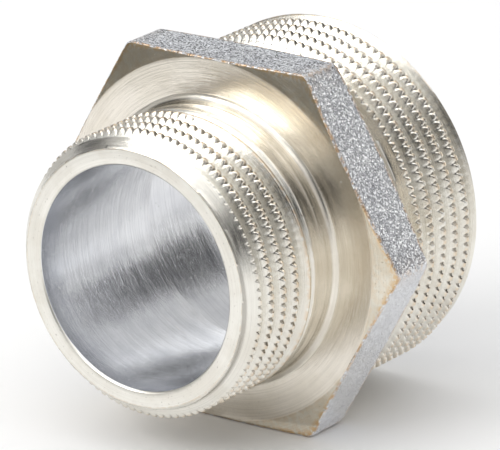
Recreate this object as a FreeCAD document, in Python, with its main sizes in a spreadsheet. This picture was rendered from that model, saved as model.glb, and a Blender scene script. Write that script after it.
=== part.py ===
import FreeCAD, Part
import math
import os
import Sketcher

# Reducing hex nipple, 1 1/4 x 1 BSP parallel, both ends male.
# Frame: the fitting lies on one wrench flat, +Z up, with the flow axis along X and the
# small end towards -X. The origin is on the ground, under the middle of the length.
# Each body is drawn upright round its own Z axis, large face at Z = 0, and its Placement
# lays it down.

doc = FreeCAD.newDocument("HexNipple")

sheet = doc.addObject("Spreadsheet::Sheet", "Dimensions")
sheet.Label = "Dimensions"

row = 0


def cell(alias, value, note=""):
    global row
    row += 1
    sheet.set("A%d" % row, alias)
    sheet.set("B%d" % row, str(value))
    sheet.set("C%d" % row, note)
    sheet.setAlias("B%d" % row, alias)


# driving dimensions, millimetres and degrees
cell("small_major_d", 33.249, "G1 major diameter")
cell("large_major_d", 41.910, "G1 1/4 major diameter")
cell("pitch", 2.309, "11 threads per inch, both ends")
cell("thread_depth", 1.479, "Whitworth 55 degree form")
cell("crest_land", 0.385, "flat left on a crest")
cell("root_land", 0.385, "flat left in a root")
cell("half_angle", 27.5, "half of the thread angle")
cell("total_length", 38.8, "face to face")
cell("small_end_length", 15.55, "small face to hexagon")
cell("hex_width", 6.75, "axial width of the hexagon")
cell("hex_across_flats", 42.8, "wrench size")
cell("hex_corner_radius", 1.0, "rounded upright corners")
cell("hex_turned_d", 42.6, "outer edge of the turned faces")
cell("hex_chamfer_angle", 9.0, "slope of the corner chamfer")
cell("small_bore_d", 26.1, "flow bore at the small end")
cell("large_bore_d", 35.0, "flow bore at the large end")
cell("small_bore_depth", 20.3, "small bore length from the small face")
cell("bore_cone_length", 1.9, "axial length of the step between the bores")
cell("bore_chamfer", 0.23, "inner edge break at both faces")
cell("small_face_d", 29.84, "outer edge of the small end face")
cell("small_first_crest", 1.31, "small face to first crest")
cell("small_cone_length", 1.55, "end chamfer, small end")
cell("small_crests", 5, "crests on the small end, the first one trimmed")
cell("small_neck_d", 32.8, "plain neck behind the small thread")
cell("small_neck_fillet", 0.8, "blend of the neck into the hexagon")
cell("small_thread_length", 11.8, "length of the small threaded zone")
cell("large_face_d", 38.5, "outer edge of the large end face")
cell("large_first_crest", 1.191, "large face to first crest, which the chamfer trims")
cell("large_cone_length", 1.90, "end chamfer, large end")
cell("large_crests", 6, "crests on the large end, the first one trimmed")
cell("large_neck_d", 38.95, "plain neck behind the large thread")
cell("large_neck_fillet", 0.8, "blend of the neck into the hexagon")
cell("large_thread_length", 13.8, "length of the large threaded zone")
cell("small_notches", 100, "serration notches in one turn, small end")
cell("large_notches", 122, "serration notches in one turn, large end")
cell("small_knurl_length", 9.7, "serrated length from the small face")
cell("large_knurl_length", 11.4, "serrated length from the large neck; the trimmed outer ridge is plain")
cell("notch_depth", 0.45, "depth of a serration notch at the crest")
cell("notch_width", 0.60, "width of a serration notch at the crest")
cell("foot_height", 0.12, "step where the neck blend meets the hexagon")
cell("over_cut", 1.0, "how far a cutting profile runs past the face")

# derived coordinates, used by the sketches
cell("z_hex_front", "=total_length - small_end_length")
cell("z_hex_back", "=total_length - small_end_length - hex_width")
cell("z_small_thread", "=total_length - small_thread_length")
cell("flank", "=thread_depth * tan(half_angle * 1deg)")
cell("r_small_bore", "=small_bore_d / 2")
cell("r_small_bore_edge", "=small_bore_d / 2 + bore_chamfer")
cell("r_large_bore", "=large_bore_d / 2")
cell("r_large_bore_edge", "=large_bore_d / 2 + bore_chamfer")
cell("r_small_face", "=small_face_d / 2")
cell("r_small_major", "=small_major_d / 2")
cell("r_small_root", "=small_major_d / 2 - thread_depth")
cell("r_large_face", "=large_face_d / 2")
cell("r_large_major", "=large_major_d / 2")
cell("r_large_root", "=large_major_d / 2 - thread_depth")
cell("r_small_neck", "=small_neck_d / 2")
cell("r_large_neck", "=large_neck_d / 2")
cell("z_small_edge", "=total_length - bore_chamfer")
cell("z_small_cone", "=total_length - small_cone_length")
cell("z_small_last", "=total_length - small_first_crest - (small_crests - 1) * pitch - crest_land / 2")
cell("z_small_foot", "=z_small_last - (small_major_d - small_neck_d) / 2")
cell("z_large_cone", "=large_cone_length")
cell("z_large_last", "=large_first_crest + (large_crests - 1) * pitch + crest_land / 2")
cell("z_large_foot", "=z_large_last + flank")
cell("z_sr_a", "=total_length - small_first_crest - crest_land / 2")
cell("z_sr_b", "=z_sr_a - flank")
cell("z_sr_c", "=z_sr_b - root_land")
cell("z_sr_d", "=z_sr_c - flank")
cell("z_lr_a", "=large_first_crest + crest_land / 2")
cell("z_lr_b", "=z_lr_a + flank")
cell("z_lr_c", "=z_lr_b + root_land")
cell("z_lr_d", "=z_lr_c + flank")
cell("z_neck_blend", "=z_hex_front + foot_height + small_neck_fillet")
cell("z_neck_step", "=z_hex_front + foot_height")
cell("r_neck_foot", "=r_small_neck + small_neck_fillet")
cell("z_back_blend", "=z_hex_back - foot_height - large_neck_fillet")
cell("z_back_step", "=z_hex_back - foot_height")
cell("r_back_foot", "=r_large_neck + large_neck_fillet")
cell("z_cone_top", "=total_length - small_bore_depth")
cell("z_cone_low", "=z_cone_top - bore_cone_length")
cell("z_over_front", "=z_hex_front + over_cut")
cell("z_over_back", "=z_hex_back - over_cut")
cell("r_turned", "=hex_turned_d / 2")
cell("r_outside", "=hex_across_flats / 2 * 1.3")
cell("corner_drop", "=(r_outside - r_turned) * tan(hex_chamfer_angle * 1deg)")
cell("z_front_drop", "=z_hex_front - corner_drop")
cell("z_back_drop", "=z_hex_back + corner_drop")
cell("small_pattern", "=(small_crests - 2) * pitch")
cell("large_pattern", "=(large_crests - 2) * pitch")
cell("flat_y", "=hex_across_flats / 2")
cell("minus_flat_y", "=-hex_across_flats / 2")
cell("corner_x", "=hex_across_flats / 2 / cos(30deg)")
cell("minus_corner_x", "=-corner_x")
cell("half_x", "=corner_x / 2")
cell("minus_half_x", "=-corner_x / 2")
cell("notch_half", "=notch_width / 2 * (notch_depth + over_cut) / notch_depth")
cell("r_small_notch", "=small_major_d / 2 - notch_depth")
cell("r_small_over", "=small_major_d / 2 + over_cut")
cell("r_large_notch", "=large_major_d / 2 - notch_depth")
cell("r_large_over", "=large_major_d / 2 + over_cut")
doc.recompute()


def val(alias):
    v = sheet.get(alias)
    return float(getattr(v, "Value", v))


# own X to -Y, own Y up, own Z to -X
LAID_DOWN = FreeCAD.Rotation(FreeCAD.Matrix(
    0, 0, -1, 0,
    -1, 0, 0, 0,
    0, 1, 0, 0,
    0, 0, 0, 1))


def plane(body, role):
    for o in body.Origin.OriginFeatures:
        if o.Role == role:
            return o
    raise RuntimeError(role)


def new_body(label):
    body = doc.addObject("PartDesign::Body", label)
    body.Label = label
    body.Placement = FreeCAD.Placement(
        FreeCAD.Vector(val("total_length") / 2, 0, val("hex_across_flats") / 2), LAID_DOWN)
    body.setExpression("Placement.Base.x", "Dimensions.total_length / 2")
    body.setExpression("Placement.Base.z", "Dimensions.hex_across_flats / 2")
    doc.recompute()
    return body


def new_sketch(body, name, role):
    sk = body.newObject("Sketcher::SketchObject", name)
    sk.AttachmentSupport = [(plane(body, role), "")]
    sk.MapMode = "FlatFace"
    return sk


def put(sk, index, pos, alias, across):
    """Bind one coordinate of a vertex to a cell of the sheet."""
    kind = "DistanceX" if across else "DistanceY"
    v = 0.0 if alias is None else val(alias)
    if alias is None:
        # on the sketch's own axis
        sk.addConstraint(Sketcher.Constraint("PointOnObject", index, pos, -2 if across else -1))
        return
    c = sk.addConstraint(Sketcher.Constraint(kind, -1, 1, index, pos, v))
    name = "%s_%d_%d" % ("across" if across else "up", index, pos)
    sk.renameConstraint(c, name)
    sk.setExpression("Constraints." + name, "Dimensions." + alias)


def outline(body, name, points, arcs=None, role="XZ_Plane"):
    """Closed outline whose corners are pairs of cell aliases; None means on the axis.
    arcs maps the index of a side to (centre across, centre up, radius alias, ccw)."""
    arcs = arcs or {}
    sk = new_sketch(body, name, role)
    n = len(points)
    xy = [(0.0 if a is None else val(a), 0.0 if b is None else val(b)) for a, b in points]
    ends = []
    for i in range(n):
        p, q = xy[i], xy[(i + 1) % n]
        if i in arcs:
            ca, cb, ra, ccw = arcs[i]
            cx, cy, r = val(ca), val(cb), val(ra)
            circle = Part.Circle(FreeCAD.Vector(cx, cy, 0), FreeCAD.Vector(0, 0, 1), r)
            a0 = math.atan2(p[1] - cy, p[0] - cx)
            a1 = math.atan2(q[1] - cy, q[0] - cx)
            if not ccw:
                a0, a1 = a1, a0
            if a1 < a0:
                a1 += 2 * math.pi
            g = sk.addGeometry(Part.ArcOfCircle(circle, a0, a1), False)
            ends.append((g, 1, 2) if ccw else (g, 2, 1))
            c = sk.addConstraint(Sketcher.Constraint("DistanceX", -1, 1, g, 3, cx))
            sk.renameConstraint(c, "centre_%d" % g)
            sk.setExpression("Constraints.centre_%d" % g, "Dimensions." + ca)
        else:
            g = sk.addGeometry(Part.LineSegment(FreeCAD.Vector(p[0], p[1], 0), FreeCAD.Vector(q[0], q[1], 0)), False)
            ends.append((g, 1, 2))
    for i in range(n):
        g, _, last = ends[i]
        g2, first, _ = ends[(i + 1) % n]
        sk.addConstraint(Sketcher.Constraint("Coincident", g, last, g2, first))
    for i in range(n):
        g, first, _ = ends[i]
        put(sk, g, first, points[i][0], True)
        put(sk, g, first, points[i][1], False)
    doc.recompute()
    return sk


def turned(body, name, sk, cut=False):
    f = body.newObject("PartDesign::Groove" if cut else "PartDesign::Revolution", name)
    f.Profile = sk
    f.ReferenceAxis = (sk, ["V_Axis"])
    f.Angle = 360.0
    before = body.Shape.Volume if cut else 0.0
    body.Tip = f
    doc.recompute()
    if cut and not body.Shape.Volume < before - 1e-6:
        raise RuntimeError(name + " cut nothing")
    return f


def ridges(body, name, groove, sk, count, length):
    f = body.newObject("PartDesign::LinearPattern", name)
    f.Originals = [groove]
    f.Direction = (sk, ["V_Axis"])
    f.setExpression("Length", "Dimensions." + length)
    f.setExpression("Occurrences", "Dimensions." + count + " - 1")
    body.Tip = f
    return f


def notches(body, name, tip, over, top, count, length=None):
    """Serration: one V notch cut along the axis through every crest, repeated round the axis."""
    sk = new_sketch(body, name + "_profile", "XY_Plane")
    sk.setExpression("AttachmentOffset.Base.z", "Dimensions." + top)
    a, b, half = val(tip), val(over), val("notch_half")
    pts = [(a, 0.0), (b, half), (b, -half)]
    for i in range(3):
        p, q = pts[i], pts[(i + 1) % 3]
        sk.addGeometry(Part.LineSegment(FreeCAD.Vector(p[0], p[1], 0), FreeCAD.Vector(q[0], q[1], 0)), False)
    for i in range(3):
        sk.addConstraint(Sketcher.Constraint("Coincident", i, 2, (i + 1) % 3, 1))
    sk.addConstraint(Sketcher.Constraint("PointOnObject", 0, 1, -1))
    put(sk, 0, 1, tip, True)
    put(sk, 1, 1, over, True)
    c = sk.addConstraint(Sketcher.Constraint("DistanceY", -1, 1, 1, 1, half))
    sk.renameConstraint(c, "half_width")
    sk.setExpression("Constraints.half_width", "Dimensions.notch_half")
    sk.addConstraint(Sketcher.Constraint("Symmetric", 1, 1, 1, 2, -1))
    before = body.Shape.Volume
    cut = body.newObject("PartDesign::Pocket", name + "_cut")
    cut.Profile = sk
    if length is None:
        cut.Type = 1
    else:
        cut.setExpression("Length", "Dimensions." + length)
    body.Tip = cut
    doc.recompute()
    if not body.Shape.Volume < before - 1e-6:
        raise RuntimeError(name + " cut nothing")
    f = body.newObject("PartDesign::PolarPattern", name)
    f.Originals = [cut]
    f.Axis = (sk, ["N_Axis"])
    f.Angle = 360.0
    f.setExpression("Occurrences", "Dimensions." + count)
    body.Tip = f
    doc.recompute()
    return f


# small end: threaded zone, from the small face to the neck
small = new_body("small_end_thread")
sk = outline(small, "small_blank_profile", [
    ("r_small_bore_edge", "total_length"),
    ("r_small_face", "total_length"),
    ("r_small_major", "z_small_cone"),
    ("r_small_major", "z_small_last"),
    ("r_small_neck", "z_small_foot"),
    ("r_small_neck", "z_small_thread"),
    ("r_small_bore", "z_small_thread"),
    ("r_small_bore", "z_small_edge"),
])
turned(small, "small_blank", sk)
sk = outline(small, "small_root_profile", [
    ("r_small_over", "z_sr_a"),
    ("r_small_major", "z_sr_a"),
    ("r_small_root", "z_sr_b"),
    ("r_small_root", "z_sr_c"),
    ("r_small_major", "z_sr_d"),
    ("r_small_over", "z_sr_d"),
])
groove = turned(small, "small_root", sk, cut=True)
pattern = ridges(small, "small_ridges", groove, sk, "small_crests", "small_pattern")
pattern.Reversed = True
doc.recompute()
notches(small, "small_serration", "r_small_notch", "r_small_over", "total_length", "small_notches",
        length="small_knurl_length")

# small end: plain neck that blends into the hexagon
neck = new_body("small_end_neck")
sk = outline(neck, "small_neck_profile", [
    ("r_small_bore", "z_small_thread"),
    ("r_small_neck", "z_small_thread"),
    ("r_small_neck", "z_neck_blend"),
    ("r_neck_foot", "z_neck_step"),
    ("r_neck_foot", "z_hex_front"),
    ("r_small_bore", "z_hex_front"),
], arcs={2: ("r_neck_foot", "z_neck_blend", "small_neck_fillet", True)})
turned(neck, "small_neck", sk)

# hexagon with the step of the flow bore inside it
hexa = new_body("hex_body")
sk = outline(hexa, "hex_profile", [
    ("corner_x", None),
    ("half_x", "flat_y"),
    ("minus_half_x", "flat_y"),
    ("minus_corner_x", None),
    ("minus_half_x", "minus_flat_y"),
    ("half_x", "minus_flat_y"),
], role="XY_Plane")
sk.setExpression("AttachmentOffset.Base.z", "Dimensions.z_hex_back")
pad = hexa.newObject("PartDesign::Pad", "hex_pad")
pad.Profile = sk
pad.setExpression("Length", "Dimensions.hex_width")
hexa.Tip = pad
doc.recompute()
upright = []
for i, e in enumerate(pad.Shape.Edges):
    a, b = e.Vertexes[0].Point, e.Vertexes[-1].Point
    if abs(a.x - b.x) < 1e-6 and abs(a.y - b.y) < 1e-6 and abs(a.z - b.z) > 1:
        upright.append("Edge%d" % (i + 1))
fil = hexa.newObject("PartDesign::Fillet", "hex_corners")
fil.Base = (pad, upright)
fil.setExpression("Radius", "Dimensions.hex_corner_radius")
hexa.Tip = fil
doc.recompute()
sk = outline(hexa, "front_chamfer_profile", [
    ("r_turned", "z_hex_front"),
    ("r_outside", "z_front_drop"),
    ("r_outside", "z_over_front"),
    ("r_turned", "z_over_front"),
])
turned(hexa, "front_chamfer", sk, cut=True)
sk = outline(hexa, "back_chamfer_profile", [
    ("r_turned", "z_hex_back"),
    ("r_outside", "z_back_drop"),
    ("r_outside", "z_over_back"),
    ("r_turned", "z_over_back"),
])
turned(hexa, "back_chamfer", sk, cut=True)
sk = outline(hexa, "flow_bore_profile", [
    (None, "z_over_back"),
    ("r_large_bore", "z_over_back"),
    ("r_large_bore", "z_cone_low"),
    ("r_small_bore", "z_cone_top"),
    ("r_small_bore", "z_over_front"),
    (None, "z_over_front"),
])
turned(hexa, "flow_bore", sk, cut=True)

# large end: plain neck between the hexagon and the thread
back = new_body("large_end_neck")
sk = outline(back, "large_neck_profile", [
    ("r_large_bore", "z_hex_back"),
    ("r_back_foot", "z_hex_back"),
    ("r_back_foot", "z_back_step"),
    ("r_large_neck", "z_back_blend"),
    ("r_large_neck", "large_thread_length"),
    ("r_large_bore", "large_thread_length"),
], arcs={2: ("r_back_foot", "z_back_blend", "large_neck_fillet", True)})
turned(back, "large_neck", sk)

# large end: threaded zone, from the large face to the neck
large = new_body("large_end_thread")
sk = outline(large, "large_blank_profile", [
    ("r_large_bore_edge", None),
    ("r_large_face", None),
    ("r_large_major", "z_large_cone"),
    ("r_large_major", "z_large_last"),
    ("r_large_neck", "z_large_foot"),
    ("r_large_neck", "large_thread_length"),
    ("r_large_bore", "large_thread_length"),
    ("r_large_bore", "bore_chamfer"),
])
turned(large, "large_blank", sk)
sk = outline(large, "large_root_profile", [
    ("r_large_over", "z_lr_a"),
    ("r_large_major", "z_lr_a"),
    ("r_large_root", "z_lr_b"),
    ("r_large_root", "z_lr_c"),
    ("r_large_major", "z_lr_d"),
    ("r_large_over", "z_lr_d"),
])
groove = turned(large, "large_root", sk, cut=True)
ridges(large, "large_ridges", groove, sk, "large_crests", "large_pattern")
doc.recompute()
notches(large, "large_serration", "r_large_notch", "r_large_over", "large_thread_length", "large_notches",
        length="large_knurl_length")

doc.recompute()
for o in doc.Objects:
    if "Invalid" in o.State or "Error" in o.State:
        raise RuntimeError("%s: %s" % (o.Name, o.State))

os.makedirs("parts", exist_ok=True)
for body in (small, neck, hexa, back, large):
    s = body.Shape
    if s.isNull() or not s.isValid() or len(s.Solids) != 1:
        raise RuntimeError("%s: null, invalid or not one solid (%d)" % (body.Label, len(s.Solids)))
    s.exportStep("parts/%s.step" % body.Label)
    b = s.BoundBox
    print(body.Label, "volume %.1f" % s.Volume, "faces", len(s.Faces), "z %.3f..%.3f" % (b.ZMin, b.ZMax), "x %.3f..%.3f" % (b.XMin, b.XMax))
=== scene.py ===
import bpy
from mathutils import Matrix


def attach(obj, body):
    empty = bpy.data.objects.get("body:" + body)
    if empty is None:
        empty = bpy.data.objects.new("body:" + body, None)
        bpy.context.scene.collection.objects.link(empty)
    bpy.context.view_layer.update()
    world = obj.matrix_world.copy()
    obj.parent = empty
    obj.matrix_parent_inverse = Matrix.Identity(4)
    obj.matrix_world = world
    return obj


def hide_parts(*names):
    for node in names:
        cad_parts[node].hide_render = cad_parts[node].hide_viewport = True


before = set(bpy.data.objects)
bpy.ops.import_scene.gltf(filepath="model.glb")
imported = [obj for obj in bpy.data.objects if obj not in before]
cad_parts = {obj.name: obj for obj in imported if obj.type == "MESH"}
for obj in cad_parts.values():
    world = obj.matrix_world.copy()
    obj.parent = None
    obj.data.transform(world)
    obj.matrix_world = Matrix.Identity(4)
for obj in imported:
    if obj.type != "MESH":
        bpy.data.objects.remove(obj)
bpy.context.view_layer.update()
import math

import bpy
import numpy as np
from mathutils import Matrix, Vector

# ---------------------------------------------------------------- the fitting, in mm
# Drawn round its own axis z, large face at z = 0 and small face at z = 38.8, then laid down
# on one wrench flat, as the frame has it.
LENGTH = 38.8
FLATS = 42.8
PITCH = 2.309
DEPTH = 1.479
Z_FRONT = 23.25
Z_BACK = 16.50
Z_SMALL = 27.00
Z_LARGE = 13.80
R_SMALL = 33.249 / 2
R_LARGE = 41.910 / 2
R_BORE = 13.05
R_BORE_LARGE = 17.5
INSET = 0.006


def lay(x, y, z):
    """Model millimetres to row metres."""
    return np.stack([LENGTH / 2 - z, -x, y + FLATS / 2], -1) * 0.001


def mesh_object(name, verts, faces, mats, face_mats=None, sharp=32.0, wear=None, recess_shade=None):
    me = bpy.data.meshes.new(name)
    me.from_pydata([tuple(v) for v in verts], [], faces)
    me.update()
    for m in mats:
        me.materials.append(m)
    if face_mats is not None:
        me.polygons.foreach_set("material_index", np.asarray(face_mats, dtype=np.int32))
    me.polygons.foreach_set("use_smooth", np.ones(len(me.polygons), dtype=bool))
    if wear is not None:
        at = me.attributes.new("wear", "FLOAT", "POINT")
        at.data.foreach_set("value", np.asarray(wear, dtype=np.float32))
    # recess_shade: a painted-shade value per point, which the material reads to darken recesses
    if recess_shade is not None:
        at = me.attributes.new("recess_shade", "FLOAT", "POINT")
        at.data.foreach_set("value", np.asarray(recess_shade, dtype=np.float32))
    if sharp:
        me.set_sharp_from_angle(angle=math.radians(sharp))
    me.update()
    ob = bpy.data.objects.new(name, me)
    bpy.context.scene.collection.objects.link(ob)
    return ob


def ring_mesh(name, theta, loop_r, loop_z, mats, seg_mat=None, wear=None, sharp=32.0):
    """Closed body of revolution with a free radius: loop_r and loop_z are (columns, points)."""
    n, k = loop_r.shape
    c, s = np.cos(theta)[:, None], np.sin(theta)[:, None]
    v = lay(loop_r * c, loop_r * s, loop_z).reshape(-1, 3)
    faces, fm = [], []
    for i in range(n):
        i2 = (i + 1) % n
        for j in range(k):
            j2 = (j + 1) % k
            faces.append((i * k + j, i2 * k + j, i2 * k + j2, i * k + j2))
            fm.append(0 if seg_mat is None else seg_mat[j])
    w = None if wear is None else np.broadcast_to(wear, loop_r.shape).reshape(-1)
    return mesh_object(name, v, faces, mats, fm, sharp, w)


# ---------------------------------------------------------------- thread
# (share of the pitch from the crest centre, share of the depth cut away)
FORM = [(-0.5, 1.0), (-0.455, 0.985), (-0.415, 0.93), (-0.36, 0.80), (-0.29, 0.60), (-0.22, 0.40),
        (-0.15, 0.20), (-0.118, 0.105), (-0.095, 0.045), (-0.05, 0.006), (0.0, 0.0), (0.05, 0.006),
        (0.095, 0.045), (0.118, 0.105), (0.15, 0.20), (0.22, 0.40), (0.29, 0.60), (0.36, 0.80),
        (0.415, 0.93), (0.455, 0.985)]


def thread_mesh(name, major, notches, notch_at, z_lo, z_hi, crest_at, cap, floor, inner, mats,
                notch_depth, notch_width, seg_mat, serrated):
    """A right-hand helical thread with V notches cut along the axis through its crests.
    crest_at is the z of one crest centre at angle 0. cap and floor limit the radius by z, and
    serrated says whether the notches reach a z.
    inner closes the section from z_hi round to z_lo: (radius, z) pairs."""
    per = [-0.5, -0.36, 0.0, 0.36, 0.5, 0.75]
    step = 2 * math.pi / notches
    width = notch_width / major
    fr = [-width / 2, -width / 4, 0.0, width / 4, width / 2, step / 2]
    theta, cut = [], []
    for k in range(notches):
        for f in fr:
            theta.append(notch_at + k * step + f)
            cut.append(max(0.0, 1 - abs(f) / (width / 2)) * notch_depth)
    theta, cut = np.array(theta), np.array(cut)
    theta0 = theta[0]
    n = len(theta)
    phase = np.array([p for p, _ in FORM])
    lost = np.array([q for _, q in FORM])
    m = len(FORM)
    turns_lo = math.floor((z_lo - crest_at - PITCH) / PITCH) - 2
    turns_hi = math.ceil((z_hi - crest_at) / PITCH) + 1
    w = np.concatenate([(crest_at + (k + phase) * PITCH) for k in range(turns_lo, turns_hi + 1)])
    q = np.tile(lost, turns_hi - turns_lo + 1)
    jn = len(w)
    verts, ids = [], np.zeros((n + 1, jn), dtype=np.int64)
    wear, recess_shade = [], []
    lo_id, hi_id = np.zeros(n + 1, dtype=np.int64), np.zeros(n + 1, dtype=np.int64)

    def radius(z, lost_share, notch):
        r = major - DEPTH * lost_share
        r = min(r, major - notch) if notch > 0 else r
        r = min(r, cap(z))
        return max(r, floor(z))

    for i in range(n):
        t = theta[i]
        z = w + PITCH * t / (2 * math.pi)
        ct, st = math.cos(t), math.sin(t)
        lo_id[i] = len(verts)
        r = radius(z_lo, 1.0, 0.0)
        verts.append((r * ct, r * st, z_lo)); wear.append(0.0); recess_shade.append(0.0)
        hi_id[i] = len(verts)
        r = radius(z_hi, 0.0, 0.0)
        verts.append((r * ct, r * st, z_hi)); wear.append(0.4); recess_shade.append(0.0)
        for j in range(jn):
            if z[j] <= z_lo + 1e-4:
                ids[i, j] = lo_id[i]
            elif z[j] >= z_hi - 1e-4:
                ids[i, j] = hi_id[i]
            else:
                ids[i, j] = len(verts)
                # the notch's own floor rises to the crest at its sides
                r0 = radius(z[j], q[j], 0.0)
                r = radius(z[j], q[j], cut[i]) if serrated(z[j]) else r0
                verts.append((r * ct, r * st, z[j]))
                # painted shade: notch floors and the deep thread roots get a value that darkens their colour
                recess_shade.append(min(1.0, max(0.0, 1.9 * (r0 - r) / notch_depth - 0.75) + (0.85 if q[j] > 0.9 and r0 < major - 1.2 else 0.0)))
                edge = max(0.0, 1 - (major - r) / 0.35)
                wear.append(edge)
    # the last column is the first one, a turn further along the helix
    for j in range(jn):
        if j + m < jn:
            ids[n, j] = ids[0, j + m]
        else:
            ids[n, j] = hi_id[0]
    lo_id[n], hi_id[n] = lo_id[0], hi_id[0]
    faces, fm = [], []
    for i in range(n):
        a, b = ids[i], ids[i + 1]
        for j in range(jn - 1):
            f = [a[j], b[j], b[j + 1], a[j + 1]]
            g = [f[0]] + [f[k] for k in range(1, 4) if f[k] != f[k - 1]]
            if g[-1] == g[0]:
                g.pop()
            if len(set(g)) >= 3 and len(g) == len(set(g)):
                faces.append(tuple(int(x) for x in g))
                fm.append(0)
    # the rest of the section
    base = len(verts)
    k = len(inner)
    for i in range(n):
        ct, st = math.cos(theta[i]), math.sin(theta[i])
        for r, z in inner:
            verts.append((r * ct, r * st, z)); wear.append(0.0); recess_shade.append(0.0)
    for i in range(n):
        i2 = (i + 1) % n
        cols = []
        for c in (i, i2):
            cols.append([int(hi_id[c])] + [base + c * k + j for j in range(k)] + [int(lo_id[c])])
        for j in range(k + 1):
            faces.append((cols[0][j], cols[1][j], cols[1][j + 1], cols[0][j + 1]))
            fm.append(seg_mat[j])
    v = np.array(verts)
    v = lay(v[:, 0], v[:, 1], v[:, 2])
    return mesh_object(name, v, faces, mats, fm, 50.0, wear, recess_shade)


# ---------------------------------------------------------------- materials
def nodes_of(name):
    mat = bpy.data.materials.new(name)
    mat.use_nodes = True
    nt = mat.node_tree
    nt.nodes.clear()
    out = nt.nodes.new("ShaderNodeOutputMaterial")
    bsdf = nt.nodes.new("ShaderNodeBsdfPrincipled")
    nt.links.new(bsdf.outputs[0], out.inputs[0])
    return mat, nt, bsdf


def math_node(nt, op, a, b=None, c=None):
    n = nt.nodes.new("ShaderNodeMath")
    n.operation = op
    for i, x in enumerate((a, b, c)):
        if x is None:
            continue
        if isinstance(x, (int, float)):
            n.inputs[i].default_value = x
        else:
            nt.links.new(x, n.inputs[i])
    return n.outputs[0]


def mix_color(nt, fac, a, b, blend="MIX"):
    n = nt.nodes.new("ShaderNodeMix")
    n.data_type = "RGBA"
    n.blend_type = blend
    for sock, x in ((n.inputs[0], fac), (n.inputs[6], a), (n.inputs[7], b)):
        if isinstance(x, (int, float)):
            sock.default_value = x
        elif isinstance(x, tuple):
            sock.default_value = (*x, 1.0)
        else:
            nt.links.new(x, sock)
    return n.outputs[2]


def ramp(nt, value, lo, hi, a=0.0, b=1.0):
    n = nt.nodes.new("ShaderNodeMapRange")
    n.interpolation_type = "SMOOTHSTEP"
    n.inputs[1].default_value, n.inputs[2].default_value = lo, hi
    n.inputs[3].default_value, n.inputs[4].default_value = a, b
    nt.links.new(value, n.inputs[0])
    return n.outputs[0]


def position(nt):
    """Millimetres: along the flow axis, distance from it, angle round it, and the raw point."""
    tc = nt.nodes.new("ShaderNodeTexCoord")
    sc = nt.nodes.new("ShaderNodeVectorMath")
    sc.operation = "SCALE"
    sc.inputs[3].default_value = 1000.0
    nt.links.new(tc.outputs["Object"], sc.inputs[0])
    sep = nt.nodes.new("ShaderNodeSeparateXYZ")
    nt.links.new(sc.outputs[0], sep.inputs[0])
    x, y = sep.outputs[0], sep.outputs[1]
    z = math_node(nt, "SUBTRACT", sep.outputs[2], FLATS / 2)
    r = math_node(nt, "SQRT", math_node(nt, "ADD", math_node(nt, "MULTIPLY", y, y), math_node(nt, "MULTIPLY", z, z)))
    a = math_node(nt, "ARCTAN2", z, y)
    return x, r, a, sc.outputs[0], y, z


def noise(nt, vec, scale, detail=3.0, rough=0.55):
    n = nt.nodes.new("ShaderNodeTexNoise")
    n.inputs["Scale"].default_value = scale
    n.inputs["Detail"].default_value = detail
    n.inputs["Roughness"].default_value = rough
    nt.links.new(vec, n.inputs["Vector"])
    return n.outputs[0]


def combine(nt, x, y, z):
    n = nt.nodes.new("ShaderNodeCombineXYZ")
    for i, v in enumerate((x, y, z)):
        if isinstance(v, (int, float)):
            n.inputs[i].default_value = v
        else:
            nt.links.new(v, n.inputs[i])
    return n.outputs[0]


def bump(nt, height, strength, distance, normal=None):
    n = nt.nodes.new("ShaderNodeBump")
    n.inputs["Strength"].default_value = strength
    n.inputs["Distance"].default_value = distance
    nt.links.new(height, n.inputs["Height"])
    if normal is not None:
        nt.links.new(normal, n.inputs["Normal"])
    return n.outputs[0]


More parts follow.
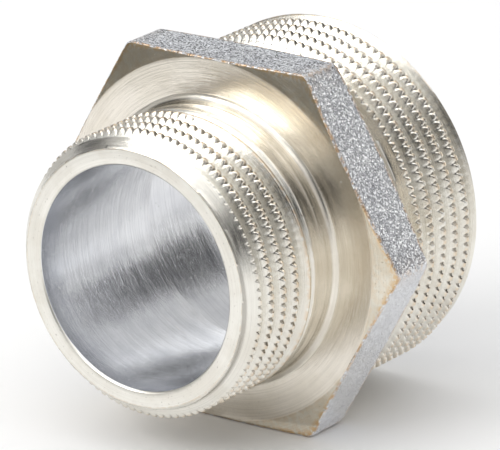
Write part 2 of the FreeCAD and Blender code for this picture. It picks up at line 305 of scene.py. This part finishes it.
def turned_nickel(name, tint, tint2, rough, line=1.0, brass=0.5, streak=0.35, dirt=0.35):
    """Plated metal straight from the lathe: fine rings round the axis, brass showing on worn edges, painted shade in
    the notches and thread roots.
    """
    mat, nt, bsdf = nodes_of(name)
    x, r, a, p, y, z = position(nt)
    # rings: quick along the section, slow round the axis; cosine and sine keep the seam closed
    ca, sa = math_node(nt, "COSINE", a), math_node(nt, "SINE", a)
    across = math_node(nt, "ADD", x, math_node(nt, "MULTIPLY", r, 1.37))
    rings = noise(nt, combine(nt, math_node(nt, "MULTIPLY", across, 9.0), math_node(nt, "MULTIPLY", ca, 1.2), math_node(nt, "MULTIPLY", sa, 1.2)), 1.0, 4.0, 0.6)
    fine = noise(nt, combine(nt, math_node(nt, "MULTIPLY", across, 30.0), math_node(nt, "MULTIPLY", ca, 3.0), math_node(nt, "MULTIPLY", sa, 3.0)), 1.0, 2.0, 0.6)
    cloud = noise(nt, p, 0.22, 4.0, 0.6)
    grain = noise(nt, p, 3.2, 4.0, 0.65)
    col = mix_color(nt, ramp(nt, cloud, 0.35, 0.68), tint, tint2)
    col = mix_color(nt, math_node(nt, "MULTIPLY", ramp(nt, rings, 0.42, 0.66), streak), col, (tint2[0] * 0.72, tint2[1] * 0.72, tint2[2] * 0.72))
    # stains and small pits
    col = mix_color(nt, math_node(nt, "MULTIPLY", ramp(nt, grain, 0.62, 0.74), dirt), col, (0.13, 0.10, 0.075))
    # brass where the plate is worn off an edge
    at = nt.nodes.new("ShaderNodeAttribute")
    at.attribute_name = "wear"
    worn = math_node(nt, "MULTIPLY", at.outputs["Fac"], ramp(nt, noise(nt, p, 1.7, 3.0, 0.6), 0.38, 0.56))
    col = mix_color(nt, math_node(nt, "MULTIPLY", worn, brass), col, (0.62, 0.40, 0.17))
    # painted shade: the notches and the thread roots are darkened in the colour, and their plate is made duller
    low = nt.nodes.new("ShaderNodeAttribute")
    low.attribute_name = "recess_shade"
    sunk = math_node(nt, "MULTIPLY", low.outputs["Fac"], 0.48)
    col = mix_color(nt, sunk, col, (0.115, 0.095, 0.075))
    nt.links.new(col, bsdf.inputs["Base Color"])
    bsdf.inputs["Metallic"].default_value = 1.0
    ro = math_node(nt, "ADD", rough, math_node(nt, "MULTIPLY", math_node(nt, "SUBTRACT", rings, 0.5), 0.16))
    ro = math_node(nt, "ADD", ro, math_node(nt, "MULTIPLY", ramp(nt, grain, 0.6, 0.75), 0.15))
    ro = math_node(nt, "ADD", ro, math_node(nt, "MULTIPLY", sunk, 0.40))
    nt.links.new(ro, bsdf.inputs["Roughness"])
    n1 = bump(nt, rings, 0.30 * line, 0.00005)
    n2 = bump(nt, fine, 0.25 * line, 0.00002, n1)
    n3 = bump(nt, grain, 0.10, 0.00003, n2)
    nt.links.new(n3, bsdf.inputs["Normal"])
    return mat


def blasted_nickel(name, tint, tint2, rough, brass=0.6, speck=1.0):
    """Plated metal over a shot-blasted forging: a coarse salt-and-pepper grain and a dull sheen."""
    mat, nt, bsdf = nodes_of(name)
    x, r, a, p, y, z = position(nt)
    cells = nt.nodes.new("ShaderNodeTexVoronoi")
    cells.inputs["Scale"].default_value = 6.0
    nt.links.new(p, cells.inputs["Vector"])
    sep = nt.nodes.new("ShaderNodeSeparateColor")
    nt.links.new(cells.outputs["Color"], sep.inputs[0])
    flake = sep.outputs[0]
    grain = noise(nt, p, 6.0, 3.0, 0.7)
    pits = noise(nt, p, 2.1, 3.0, 0.6)
    cloud = noise(nt, p, 0.16, 4.0, 0.6)
    col = mix_color(nt, ramp(nt, cloud, 0.35, 0.68), tint, tint2)
    col = mix_color(nt, math_node(nt, "MULTIPLY", ramp(nt, flake, 0.0, 0.50, 1.0, 0.0), 0.38 * speck), col, (0.10, 0.10, 0.105))
    col = mix_color(nt, math_node(nt, "MULTIPLY", ramp(nt, flake, 0.72, 1.0), 0.40 * speck), col, (0.97, 0.97, 0.96))
    col = mix_color(nt, math_node(nt, "MULTIPLY", ramp(nt, pits, 0.66, 0.76), 0.4), col, (0.10, 0.095, 0.09))
    at = nt.nodes.new("ShaderNodeAttribute")
    at.attribute_name = "wear"
    worn = math_node(nt, "MULTIPLY", at.outputs["Fac"], ramp(nt, noise(nt, p, 1.1, 4.0, 0.65), 0.40, 0.58))
    col = mix_color(nt, math_node(nt, "MULTIPLY", worn, brass), col, (0.60, 0.40, 0.22))
    nt.links.new(col, bsdf.inputs["Base Color"])
    bsdf.inputs["Metallic"].default_value = 1.0
    ro = math_node(nt, "ADD", rough, math_node(nt, "MULTIPLY", math_node(nt, "SUBTRACT", grain, 0.5), 0.5))
    nt.links.new(ro, bsdf.inputs["Roughness"])
    # every grain of the blasted skin is a small facet with its own tilt
    mid = nt.nodes.new("ShaderNodeVectorMath")
    mid.operation = "SUBTRACT"
    nt.links.new(cells.outputs["Color"], mid.inputs[0])
    mid.inputs[1].default_value = (0.5, 0.5, 0.5)
    lean = nt.nodes.new("ShaderNodeVectorMath")
    lean.operation = "SCALE"
    lean.inputs["Scale"].default_value = 0.55
    nt.links.new(mid.outputs[0], lean.inputs[0])
    geo = nt.nodes.new("ShaderNodeNewGeometry")
    tip = nt.nodes.new("ShaderNodeVectorMath")
    tip.operation = "ADD"
    nt.links.new(geo.outputs["Normal"], tip.inputs[0])
    nt.links.new(lean.outputs[0], tip.inputs[1])
    unit = nt.nodes.new("ShaderNodeVectorMath")
    unit.operation = "NORMALIZE"
    nt.links.new(tip.outputs[0], unit.inputs[0])
    n1 = bump(nt, grain, 0.7, 0.00005, unit.outputs[0])
    n2 = bump(nt, flake, 0.60 * speck, 0.00004, n1)
    n3 = bump(nt, pits, 0.25, 0.00005, n2)
    nt.links.new(n3, bsdf.inputs["Normal"])
    return mat


M_THREAD = turned_nickel("thread_nickel", (0.85, 0.83, 0.77), (0.77, 0.74, 0.67), 0.14, 1.3, 0.45, 0.35, 0.45)
M_FACE = turned_nickel("end_face_nickel", (0.88, 0.86, 0.80), (0.80, 0.77, 0.70), 0.32, 0.5, 0.90, 0.22, 0.85)
M_NECK = turned_nickel("neck_nickel", (0.85, 0.81, 0.73), (0.76, 0.71, 0.62), 0.17, 1.2, 0.45, 0.40, 0.30)
M_BORE = turned_nickel("bore_nickel", (0.86, 0.87, 0.89), (0.74, 0.75, 0.78), 0.22, 1.2, 0.1, 0.45, 0.25)
M_SHOULDER = turned_nickel("hex_face_nickel", (0.84, 0.79, 0.71), (0.76, 0.71, 0.62), 0.14, 0.9, 0.95, 0.38, 0.30)
M_CORNER = turned_nickel("hex_corner_nickel", (0.74, 0.70, 0.61), (0.60, 0.56, 0.47), 0.12, 0.5, 0.95, 0.20, 0.75)
M_FLAT = blasted_nickel("hex_flat_nickel", (0.80, 0.81, 0.83), (0.72, 0.73, 0.76), 0.16, 0.9, 0.95)

# ---------------------------------------------------------------- pieces
pieces = []


def small_cap(z):
    # end chamfer at the small face, and the small step down to the neck
    return min(R_SMALL, 14.92 + (LENGTH - z) * 1.10, max(16.40, 16.40 + (z - (LENGTH - 11.62))))


def small_floor(z):
    # the groove runs out upwards into the neck
    d = LENGTH - z
    if d < 0.1:
        return 14.9
    return 15.145 + max(0.0, min(1.0, (d - 10.6) / 1.0)) * 1.255


def small_serrated(z):
    return LENGTH - z < 9.7


small = thread_mesh(
    "small_thread", R_SMALL, 100, math.radians(8.35 - 2.7), Z_SMALL, LENGTH - INSET,
    37.49 + PITCH * 6.65 / 360, small_cap, small_floor,
    [(14.80, LENGTH - INSET), (14.0, LENGTH - INSET), (13.35, LENGTH - INSET), (13.26, LENGTH - 0.05), (13.10, LENGTH - 0.20), (R_BORE, LENGTH - 0.30),
     (R_BORE, 35.0), (R_BORE, 32.0), (R_BORE, 30.0), (R_BORE, Z_SMALL)],
    [M_THREAD, M_FACE, M_BORE], 0.45, 0.60, [1, 1, 1, 1, 1, 2, 2, 2, 2, 2, 0], small_serrated)
pieces.append((small, "small_end_thread"))


def large_cap(z):
    return min(R_LARGE, 19.25 + z * 0.9, max(19.475, 19.475 + (13.70 - z) * 1.92))


def large_floor(z):
    return 19.475 if z > 0.3 else 19.2


def large_serrated(z):
    # the outer ridge, which the end chamfer trims, is plain
    return z > 2.4


large = thread_mesh(
    "large_thread", R_LARGE, 122, math.radians(8.35 + 0.39), INSET, Z_LARGE,
    3.5 + PITCH * 6.65 / 360, large_cap, large_floor,
    [(R_BORE_LARGE, Z_LARGE), (R_BORE_LARGE, 9.0), (R_BORE_LARGE, 5.0), (R_BORE_LARGE, 0.4), (R_BORE_LARGE + 0.18, 0.1), (R_BORE_LARGE + 0.23, INSET), (18.5, INSET)],
    [M_THREAD, M_FACE, M_BORE], 0.45, 0.60, [0, 2, 2, 2, 1, 1, 1, 1], large_serrated)
pieces.append((large, "large_end_thread"))


def lathe(name, section, mats, seg_mat, wear, count=360, sharp=32.0):
    theta = np.linspace(0, 2 * math.pi, count, endpoint=False)
    sec = np.array(section)
    return ring_mesh(name, theta, np.tile(sec[:, 0], (count, 1)), np.tile(sec[:, 1], (count, 1)), mats, seg_mat, np.array(wear)[None, :], sharp)


def arc(cr, cz, rad, a0, a1, n):
    t = np.radians(np.linspace(a0, a1, n))
    return [(cr + rad * math.cos(a), cz + rad * math.sin(a)) for a in t]


# neck at the small end: a plain turned band with its tool steps, then the blend into the hexagon
blend = arc(17.20, Z_FRONT + 0.12 + 0.8, 0.8, 180, 270, 11)
sec = [(R_BORE, Z_SMALL), (16.40, Z_SMALL), (16.40, 26.52), (16.37, 26.45), (16.37, 25.36), (16.40, 25.28), (16.40, 24.75), (16.385, 24.70), (16.385, 24.40)] + blend + [(17.20, Z_FRONT), (R_BORE, Z_FRONT)]
neck = lathe("small_neck", sec, [M_NECK, M_BORE], [0] * (len(sec) - 1) + [1], [0.0] * len(sec))
pieces.append((neck, "small_end_neck"))

blend = arc(20.275, Z_BACK - 0.12 - 0.8, 0.8, 90, 180, 8)
sec = [(R_BORE_LARGE, Z_BACK), (20.275, Z_BACK)] + blend + [(19.475, 14.4), (19.475, Z_LARGE), (R_BORE_LARGE, Z_LARGE)]
back = lathe("large_neck", sec, [M_NECK, M_BORE], [0] * (len(sec) - 1) + [1], [0.0] * len(sec))
pieces.append((back, "large_end_neck"))


# hexagon
def hexagon():
    a = FLATS / 2
    rf = 1.15
    half = math.radians(30)
    centre = (a - rf) / math.cos(half)  # corner arc's centre distance
    # angle from the corner at which the arc meets the flat
    meet = half - math.atan2((a - rf) * math.tan(half), a)
    offs = list(np.radians([0, 3, 6, 9, 12, 15, 18, 21, 24])) + list(np.linspace(half - meet * 1.0, half + meet * 1.0, 13)) + list(np.radians([36, 39, 42, 45, 48, 51, 54, 57]))
    offs = sorted(set(round(o, 6) for o in offs if o <= half - meet * 1.0 or o >= half + meet * 1.0 or True))
    theta, rad, edge = [], [], []
    for k in range(6):
        for o in offs:
            t = math.radians(30) + k * math.radians(60) + o  # flat centre + offset
            d = abs(o - half)  # from the corner
            if d >= meet:
                r = a / math.cos(min(o, math.radians(60) - o))
            else:
                r = centre * math.cos(d) + math.sqrt(rf * rf - (centre * math.sin(d)) ** 2)
            theta.append(t); rad.append(r); edge.append(max(0.0, 1 - d / (meet * 1.3)))
    theta, rad, edge = np.array(theta), np.array(rad), np.array(edge)
    n = len(theta)
    rt = 21.3
    slope = math.tan(math.radians(9.0))
    loop_r, loop_z, wear = [], [], []

    def add(r, z, w):
        loop_r.append(np.broadcast_to(r, (n,)).astype(float)); loop_z.append(np.broadcast_to(z, (n,)).astype(float)); wear.append(np.broadcast_to(w, (n,)).astype(float))

    def front(r):
        return Z_FRONT - np.maximum(0, r - rt) * slope

    def behind(r):
        return Z_BACK + np.maximum(0, r - rt) * slope

    e = 0.16
    add(R_BORE, Z_FRONT, 0)
    for r in (15.0, 17.2, 18.6, 19.8, 20.6, 21.05):
        add(r, Z_FRONT, 0)
    add(rt - 0.02, Z_FRONT, 0.10)
    add(np.minimum(rt + 0.05, rad - e), front(np.minimum(rt + 0.05, rad - e)), 0.25)
    for s in (0.35, 0.7):
        r = rt + 0.05 + (rad - e - rt - 0.05) * s
        r = np.minimum(np.maximum(r, rt + 0.05), rad - e)
        add(r, front(r), 0.15)
    add(rad - e, front(rad - e), 0.9)
    add(rad - e * 0.55, front(rad - e) - e * 0.12, 1.0)
    add(rad - e * 0.2, front(rad - e) - e * 0.45, 1.0)
    add(rad, front(rad - e) - e, 0.9)
    zf, zb = front(rad - e) - e, behind(rad - e) + e
    k0 = len(loop_r)
    for s in (0.06, 0.3, 0.5, 0.7, 0.94):
        add(rad, zf + (zb - zf) * s, edge * 0.55)
    add(rad, zb, 0.9)
    add(rad - e * 0.2, zb - e * 0.55, 1.0)
    add(rad - e * 0.55, zb - e * 0.88, 1.0)
    add(rad - e, behind(rad - e), 0.9)
    k1 = len(loop_r) - 1
    inner_r = np.minimum(rt + 0.05, rad - e)
    r = np.maximum(inner_r, rad - e - 0.2)
    add(r, behind(r), 0.15)
    r = inner_r
    add(r, behind(r), 0.1)
    add(rt - 0.06, Z_BACK, 0.2)
    add(20.3, Z_BACK, 0)
    add(R_BORE_LARGE, Z_BACK, 0)
    add(R_BORE_LARGE, 16.60, 0)
    add(R_BORE + 0.15, 18.44, 0.2)
    add(R_BORE, 18.56, 0.3)
    add(R_BORE, 20.5, 0)
    lr, lz, wr = np.stack(loop_r, 1), np.stack(loop_z, 1), np.stack(wear, 1)
    seg = []
    total = len(loop_r)
    for j in range(total):
        if j in (8, 9, 10):
            seg.append(3)
        elif j < k0 - 5:
            seg.append(0)
        elif j <= k1:
            seg.append(1)
        elif j == k1 + 1:
            seg.append(3)
        elif j <= k1 + 4:
            seg.append(0)
        else:
            seg.append(2)
    return ring_mesh("hexagon", theta, lr, lz, [M_SHOULDER, M_FLAT, M_BORE, M_CORNER], seg, wr, 8.0)


hexa = hexagon()
pieces.append((hexa, "hex_body"))

for ob, node in pieces:
    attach(ob, "root")
    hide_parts(node)

# ---------------------------------------------------------------- stage, light and camera
bpy.ops.mesh.primitive_plane_add(size=6.0, location=(0, 0, -0.00005))
floor = bpy.context.object
floor.name = "floor"
mat, nt, bsdf = nodes_of("paper")
bsdf.inputs["Base Color"].default_value = (0.95, 0.95, 0.95, 1)
bsdf.inputs["Roughness"].default_value = 0.9
floor.data.materials.append(mat)


def card(name, centre, size, target, color, strength):
    """A flat card that faces a point; strength 0 is a plain dark card."""
    me = bpy.data.meshes.new(name)
    w, h = size[0] / 2, size[1] / 2
    me.from_pydata([(-w, -h, 0), (w, -h, 0), (w, h, 0), (-w, h, 0)], [], [(0, 1, 2, 3)])
    ob = bpy.data.objects.new(name, me)
    bpy.context.scene.collection.objects.link(ob)
    ob.location = centre
    ob.rotation_mode = "QUATERNION"
    ob.rotation_quaternion = (Vector(target) - Vector(centre)).to_track_quat("Z", "Y")
    m, t, b = nodes_of(name + "_paint")
    b.inputs["Base Color"].default_value = (*color, 1)
    b.inputs["Roughness"].default_value = 0.8
    if strength:
        b.inputs["Emission Color"].default_value = (*color, 1)
        b.inputs["Emission Strength"].default_value = strength
    me.materials.append(m)
    ob.visible_camera = False
    ob.visible_shadow = False
    ob.visible_diffuse = False
    return ob


def lamp(name, centre, size, target, color, power):
    li = bpy.data.lights.new(name, "AREA")
    li.shape = "RECTANGLE"
    li.size, li.size_y = size
    li.energy = power
    li.color = color
    ob = bpy.data.objects.new(name, li)
    bpy.context.scene.collection.objects.link(ob)
    ob.location = centre
    ob.rotation_mode = "QUATERNION"
    ob.rotation_quaternion = (Vector(target) - Vector(centre)).to_track_quat("-Z", "Y")
    return ob


# the camera as the photograph had it, found from the circles and corners of the fitting
RIGHT = Vector((0.59028, -0.80700, -0.01890))
DOWN = Vector((-0.27384, -0.17810, -0.94514))
AHEAD = Vector((0.75933, 0.56310, -0.32610))
EYE = Vector((-0.46941, -0.34996, 0.22406))
RIGHT = (RIGHT - AHEAD.normalized() * RIGHT.dot(AHEAD.normalized())).normalized()
AHEAD = AHEAD.normalized()
UP = RIGHT.cross(AHEAD)
cam = bpy.data.cameras.new("camera")
cam.sensor_fit = "HORIZONTAL"
cam.sensor_width = 36.0
cam.lens = 5472.5 / 500 * 36.0
cam.clip_start, cam.clip_end = 0.01, 20.0
eye = bpy.data.objects.new("camera", cam)
bpy.context.scene.collection.objects.link(eye)
eye.matrix_world = Matrix((
    (RIGHT.x, UP.x, -AHEAD.x, EYE.x),
    (RIGHT.y, UP.y, -AHEAD.y, EYE.y),
    (RIGHT.z, UP.z, -AHEAD.z, EYE.z),
    (0, 0, 0, 1)))
bpy.context.scene.camera = eye

C = Vector((0, 0, 0.021))


def out(r, u, a, d):
    """A point d metres from the fitting, in camera terms: right, up, ahead."""
    v = RIGHT * r + UP * u + AHEAD * a
    return C + v.normalized() * d


world = bpy.data.worlds.new("world")
bpy.context.scene.world = world
world.use_nodes = True
wn = world.node_tree
wn.nodes["Background"].inputs[0].default_value = (1.0, 1.0, 1.0, 1)
wn.nodes["Background"].inputs[1].default_value = 0.64

lamp("top", C + Vector((-0.25, 0.0, 0.9)), (1.3, 1.3), C, (1.0, 1.0, 1.0), 4.2)
lamp("left", out(-0.68, 0.40, -0.52, 0.85), (0.60, 0.42), C, (1.0, 0.99, 0.97), 2.4)
lamp("back_top", out(0.02, 0.68, 0.73, 0.8), (0.55, 0.30), C, (0.95, 0.975, 1.0), 0.34)
lamp("low_right", out(0.80, 0.22, 0.56, 0.8), (0.40, 0.30), C, (1.0, 0.995, 0.98), 0.45)
card("dark_room", out(-0.12, -0.04, -0.99, 0.80), (0.62, 0.30), C, (0.02, 0.02, 0.022), 0.0)
card("dark_low_left", C + Vector((-0.142, 0.097, 0.003)), (0.16, 0.044), C, (0.26, 0.256, 0.24), 0.0)
card("dark_behind", C + Vector((0.711, 0.531, 0.094)), (1.0, 0.14), C, (0.02, 0.02, 0.022), 0.0)
card("dark_right", out(0.86, 0.46, 0.15, 0.45), (0.23, 0.23), C, (0.02, 0.02, 0.022), 0.0)
card("bright_table", Vector((0.0125, -0.0225, 0.0003)), (0.035, 0.045), Vector((0.0125, -0.0225, 1.0)), (1.0, 1.0, 1.0), 0.12)
card("dark_upper_left", out(-0.80, 0.58, 0.24, 0.60), (0.22, 0.22), C, (0.02, 0.02, 0.022), 0.0)

bpy.context.scene.view_settings.view_transform = "Standard"
bpy.context.scene.view_settings.look = "None"
bpy.context.scene.view_settings.exposure = 0.0
